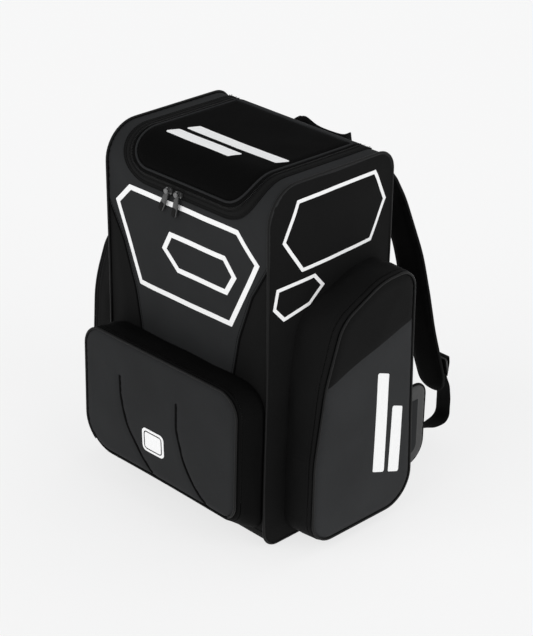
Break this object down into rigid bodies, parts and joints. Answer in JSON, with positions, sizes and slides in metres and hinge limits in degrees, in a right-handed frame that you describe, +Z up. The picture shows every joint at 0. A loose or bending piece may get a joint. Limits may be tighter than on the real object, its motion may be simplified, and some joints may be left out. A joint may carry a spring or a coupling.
{
  "type": "sports kit backpack",
  "caption": "Boxy sports kit backpack: U-zip lid, padded front pocket, arched zip side pockets, grab handle, shoulder straps and hip wings.",
  "frame": {"origin": "on the floor under the middle of the main body, on the bottom face of the base skid", "axes": "+Z up, -Y to the front pocket, +Y to the wearer's back, +X to the wearer's right"},
  "size_m": [0.476, 0.5127, 0.586],
  "materials": {
    "charcoal_cloth": "coated woven polyester, soft satin",
    "black_cloth": "coated woven polyester, matt",
    "side_cloth": "coated woven polyester, satin",
    "pocket_cloth": "padded coated polyester, satin",
    "side_face_cloth": "padded coated polyester in two tones",
    "lid_cloth": "fine ribbed soft fabric, matt",
    "mesh_cloth": "air mesh over foam",
    "strap_cloth": "air mesh over foam, bound edge",
    "wing_cloth": "moulded foam under cloth",
    "webbing": "ribbed polypropylene webbing",
    "zip_tape": "coated zip tape with a covered coil",
    "piping": "coated cord, semi-gloss",
    "white_print": "white heat-pressed print",
    "slider_metal": "gunmetal",
    "puller_metal": "gunmetal with a dark moulded tip",
    "buckle_plastic": "moulded acetal",
    "base_rubber": "ribbed skid sheet",
    "stiffener_plastic": "plain polyethylene sheet"
  },
  "bodies": {
    "pack": {"front_panel": "charcoal_cloth", "front_insert_right": "black_cloth", "front_insert_left": "black_cloth", "back_panel": "black_cloth", "base_panel": "black_cloth", "top_rim_right": "charcoal_cloth", "top_rim_left": "charcoal_cloth", "top_rim_back": "black_cloth", "side_panel_right": "side_cloth", "side_panel_left": "side_cloth", "side_piping_right": "piping", "side_piping_left": "piping", "frame_sheet": "stiffener_plastic", "base_stiffener": "stiffener_plastic", "base_skid": "base_rubber", "rim_zip_tape": "zip_tape", "front_pocket_gusset": "black_cloth", "front_pocket_zip_tape": "zip_tape", "side_pocket_gusset_right": "black_cloth", "side_pocket_gusset_left": "black_cloth", "side_pocket_zip_tape_right": "zip_tape", "side_pocket_zip_tape_left": "zip_tape", "strap_yoke": "black_cloth", "handle_anchors": "webbing", "webbing_anchor_right": "webbing", "webbing_anchor_left": "webbing", "back_pad": "mesh_cloth", "lumbar_pad": "mesh_cloth"},
    "lid": {"lid_panel": "black_cloth", "lid_zip_tape": "zip_tape", "lid_pad": "lid_cloth"},
    "front_flap": {"front_flap_face": "pocket_cloth", "front_flap_zip_tape": "zip_tape", "front_flap_piping": "piping", "front_badge": "white_print"},
    "front_zip": {"front_pocket_slider": "slider_metal"},
    "front_pull": {"front_pocket_puller": "puller_metal"},
    "handle": {"handle_webbing": "webbing"},
    "main_zip_right": {"main_slider_right": "slider_metal"},
    "main_pull_right": {"main_puller_right": "puller_metal"},
    "side_flap_right": {"side_flap_face_right": "side_face_cloth", "side_flap_zip_tape_right": "zip_tape", "side_flap_piping_right": "piping"},
    "side_zip_right": {"side_pocket_slider_right": "slider_metal"},
    "side_pull_right": {"side_pocket_puller_right": "puller_metal"},
    "strap_right": {"strap_pad_right": "strap_cloth", "strap_webbing_right": "webbing", "strap_buckle_right": "buckle_plastic"},
    "wing_right": {"hip_wing_right": "wing_cloth"},
    "main_zip_left": {"main_slider_left": "slider_metal"},
    "main_pull_left": {"main_puller_left": "puller_metal"},
    "side_flap_left": {"side_flap_face_left": "side_face_cloth", "side_flap_zip_tape_left": "zip_tape", "side_flap_piping_left": "piping"},
    "side_zip_left": {"side_pocket_slider_left": "slider_metal"},
    "side_pull_left": {"side_pocket_puller_left": "puller_metal"},
    "strap_left": {"strap_pad_left": "strap_cloth", "strap_webbing_left": "webbing", "strap_buckle_left": "buckle_plastic"},
    "wing_left": {"hip_wing_left": "wing_cloth"}
  },
  "joints": [
    {"name": "lid_hinge", "type": "hinge", "parent": "pack", "child": "lid", "pos_m": [0, 0.105, 0.58], "axis": [-1, 0, 0], "range_deg": [0, 110]},
    {"name": "main_zip_slide_left", "type": "slide", "parent": "pack", "child": "main_zip_left", "axis": [1, 0, 0], "range_m": [-0.051, 0.003]},
    {"name": "main_pull_swing_left", "type": "hinge", "parent": "main_zip_left", "child": "main_pull_left", "pos_m": [-0.031, -0.1305, 0.522], "axis": [0, -1, 0], "range_deg": [-34, 12]},
    {"name": "main_zip_slide_right", "type": "slide", "parent": "pack", "child": "main_zip_right", "axis": [1, 0, 0], "range_m": [-0.003, 0.092]},
    {"name": "main_pull_swing_right", "type": "hinge", "parent": "main_zip_right", "child": "main_pull_right", "pos_m": [-0.01, -0.1305, 0.522], "axis": [0, -1, 0], "range_deg": [-15, 60]},
    {"name": "front_flap_hinge", "type": "hinge", "parent": "pack", "child": "front_flap", "pos_m": [0, -0.1713, 0.0592], "axis": [1, 0, 0], "range_deg": [0, 85]},
    {"name": "front_zip_slide", "type": "slide", "parent": "pack", "child": "front_zip", "axis": [0, 0, 1], "range_m": [-0.05, 0.06]},
    {"name": "front_pull_swing", "type": "hinge", "parent": "front_zip", "child": "front_pull", "pos_m": [-0.1763, -0.1665, 0.168], "axis": [1, 0, 0], "range_deg": [-40, 40]},
    {"name": "side_flap_hinge_right", "type": "hinge", "parent": "pack", "child": "side_flap_right", "pos_m": [0.2263, 0, 0.0146], "axis": [0, 1, 0], "range_deg": [0, 80]},
    {"name": "side_zip_slide_right", "type": "slide", "parent": "pack", "child": "side_zip_right", "axis": [0, -0.022, 0.9998], "range_m": [-0.06, 0.2]},
    {"name": "side_pull_swing_right", "type": "hinge", "parent": "side_zip_right", "child": "side_pull_right", "pos_m": [0.2215, 0.1297, 0.1501], "axis": [0, 0.9998, 0.022], "range_deg": [-20, 20]},
    {"name": "side_flap_hinge_left", "type": "hinge", "parent": "pack", "child": "side_flap_left", "pos_m": [-0.2263, 0, 0.0146], "axis": [0, -1, 0], "range_deg": [0, 80]},
    {"name": "side_zip_slide_left", "type": "slide", "parent": "pack", "child": "side_zip_left", "axis": [0, -0.022, 0.9998], "range_m": [-0.06, 0.2]},
    {"name": "side_pull_swing_left", "type": "hinge", "parent": "side_zip_left", "child": "side_pull_left", "pos_m": [-0.2215, 0.1297, 0.1501], "axis": [0, -0.9998, -0.022], "range_deg": [-20, 20]},
    {"name": "handle_lift", "type": "hinge", "parent": "pack", "child": "handle", "pos_m": [0, 0.1272, 0.5573], "axis": [1, 0, 0], "range_deg": [0, 75]},
    {"name": "strap_swing_right", "type": "hinge", "parent": "pack", "child": "strap_right", "pos_m": [0.0785, 0.1553, 0.51], "axis": [-0.1171, 0.0216, 0.9929], "range_deg": [-3, 15]},
    {"name": "wing_fold_right", "type": "hinge", "parent": "pack", "child": "wing_right", "pos_m": [0.1755, 0.13, 0.09], "axis": [0, 0, -1], "range_deg": [-4, 70]},
    {"name": "strap_swing_left", "type": "hinge", "parent": "pack", "child": "strap_left", "pos_m": [-0.0785, 0.1553, 0.51], "axis": [-0.1171, -0.0216, -0.9929], "range_deg": [-3, 15]},
    {"name": "wing_fold_left", "type": "hinge", "parent": "pack", "child": "wing_left", "pos_m": [-0.1755, 0.13, 0.09], "axis": [0, 0, 1], "range_deg": [-4, 70]}
  ]
}
